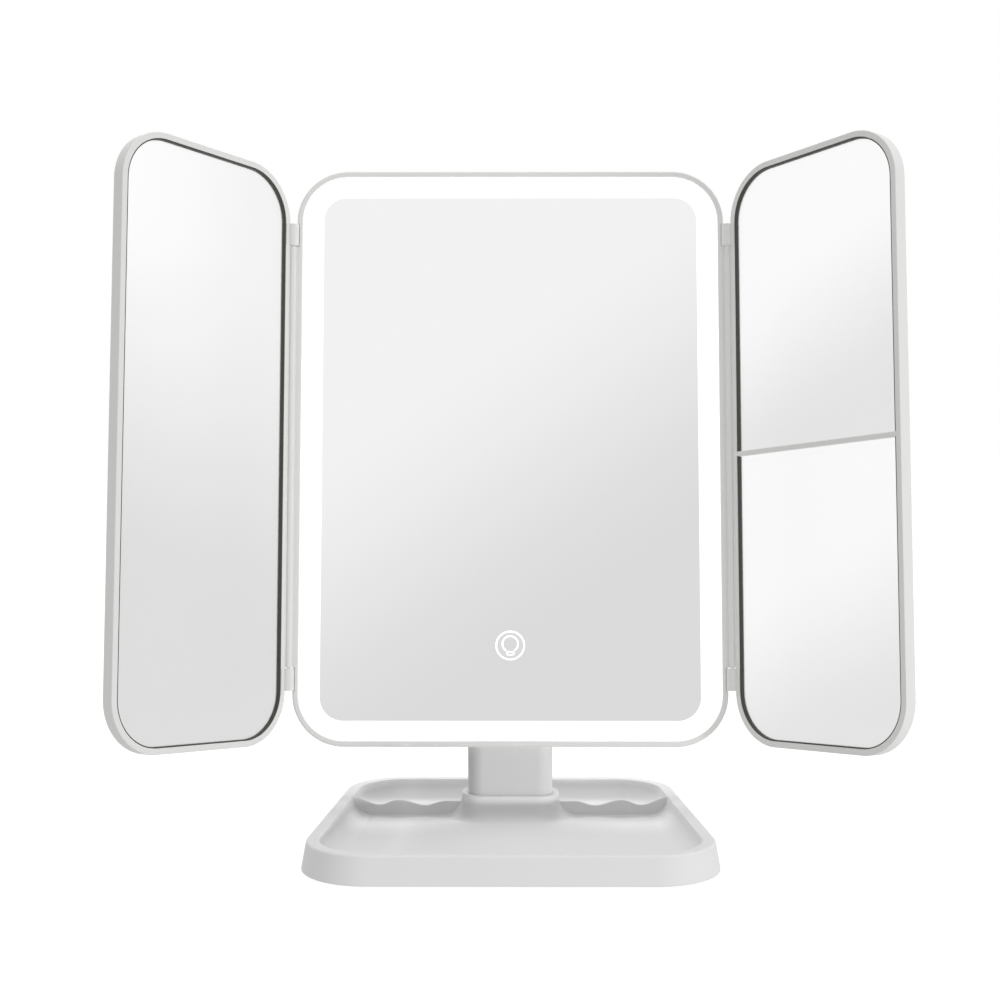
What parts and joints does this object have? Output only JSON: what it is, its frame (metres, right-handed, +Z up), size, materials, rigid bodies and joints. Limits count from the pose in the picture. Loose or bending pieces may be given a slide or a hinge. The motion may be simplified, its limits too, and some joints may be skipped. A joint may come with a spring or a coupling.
{
  "type": "lighted vanity mirror",
  "caption": "Tabletop vanity mirror: a lit rounded centre panel with two folding side mirrors, tilting on an oval column in a weighted organiser tray.",
  "frame": {"origin": "on the table, under the middle of the tray", "axes": "+Z up, +X to the right of a person facing the mirror, -Y towards that person"},
  "size_m": [0.3051, 0.139, 0.2849],
  "materials": {
    "white_shell": "moulded white ABS, satin",
    "mirror_glass": "silvered float glass",
    "lit_diffuser": "opal acrylic, lit from behind",
    "light_chip": "phosphor under clear resin",
    "white_board": "white solder mask on glass-fibre board",
    "green_board": "green solder mask on glass-fibre board",
    "plated_steel": "zinc-plated steel",
    "dark_rubber": "moulded silicone rubber",
    "dark_gasket": "black foam rubber strip",
    "grey_nylon": "glass-filled nylon",
    "natural_nylon": "natural nylon",
    "inner_plastic": "moulded ABS, fine matt",
    "grey_foam": "closed-cell foam tape",
    "copper_film": "copper on clear film",
    "cell_jacket": "printed film on steel can",
    "wire_jacket": "PVC insulation"
  },
  "bodies": {
    "base": {"tray_shell": "white_shell", "ballast_plate": "plated_steel", "rubber_feet": "dark_rubber", "ballast_screws": "plated_steel", "column_shell": "white_shell", "column_bolts": "plated_steel", "tilt_tongue": "grey_nylon", "neck_screws": "plated_steel"},
    "head": {"centre_frame": "white_shell", "centre_mirror_glass": "mirror_glass", "light_diffuser": "lit_diffuser", "led_board": "white_board", "led_chips": "light_chip", "carrier_plate": "inner_plastic", "foam_strips": "grey_foam", "touch_film": "copper_film", "touch_spring": "plated_steel", "control_board": "green_board", "usb_socket": "plated_steel", "battery_box": "inner_plastic", "battery_contacts": "plated_steel", "battery_cells": "cell_jacket", "wiring_leads": "wire_jacket", "back_cover": "white_shell", "cover_screws": "plated_steel", "tilt_bracket": "plated_steel", "bracket_screws": "plated_steel", "tilt_bolt": "plated_steel", "tilt_nut": "plated_steel", "friction_washers": "natural_nylon", "hinge_pins": "plated_steel"},
    "battery_door": {"battery_door": "white_shell"},
    "left_wing": {"left_wing_frame": "white_shell", "left_wing_gasket": "dark_gasket", "left_wing_mirror": "mirror_glass", "left_wing_pad": "grey_foam", "left_wing_back": "white_shell"},
    "right_wing": {"right_wing_frame": "white_shell", "right_wing_gasket": "dark_gasket", "right_wing_mirror_upper": "mirror_glass", "right_wing_mirror_lower": "mirror_glass", "right_wing_pad": "grey_foam", "right_wing_back": "white_shell"}
  },
  "joints": [
    {"name": "head_tilt", "type": "hinge", "parent": "base", "child": "head", "pos_m": [0, 0.03488, 0.04193], "axis": [-1, 0, 0], "range_deg": [-6, 14]},
    {"name": "left_wing_fold", "type": "hinge", "parent": "head", "child": "left_wing", "pos_m": [-0.09355, 0.03209, 0.1574], "axis": [0, 0.108, 0.9942], "range_deg": [-53, 127]},
    {"name": "right_wing_fold", "type": "hinge", "parent": "head", "child": "right_wing", "pos_m": [0.09355, 0.03209, 0.1574], "axis": [0, -0.108, -0.9942], "range_deg": [-54.5, 125.5]},
    {"name": "battery_door_slide", "type": "slide", "parent": "head", "child": "battery_door", "axis": [0, 0.108, 0.9942], "range_m": [0, 0.04]}
  ]
}
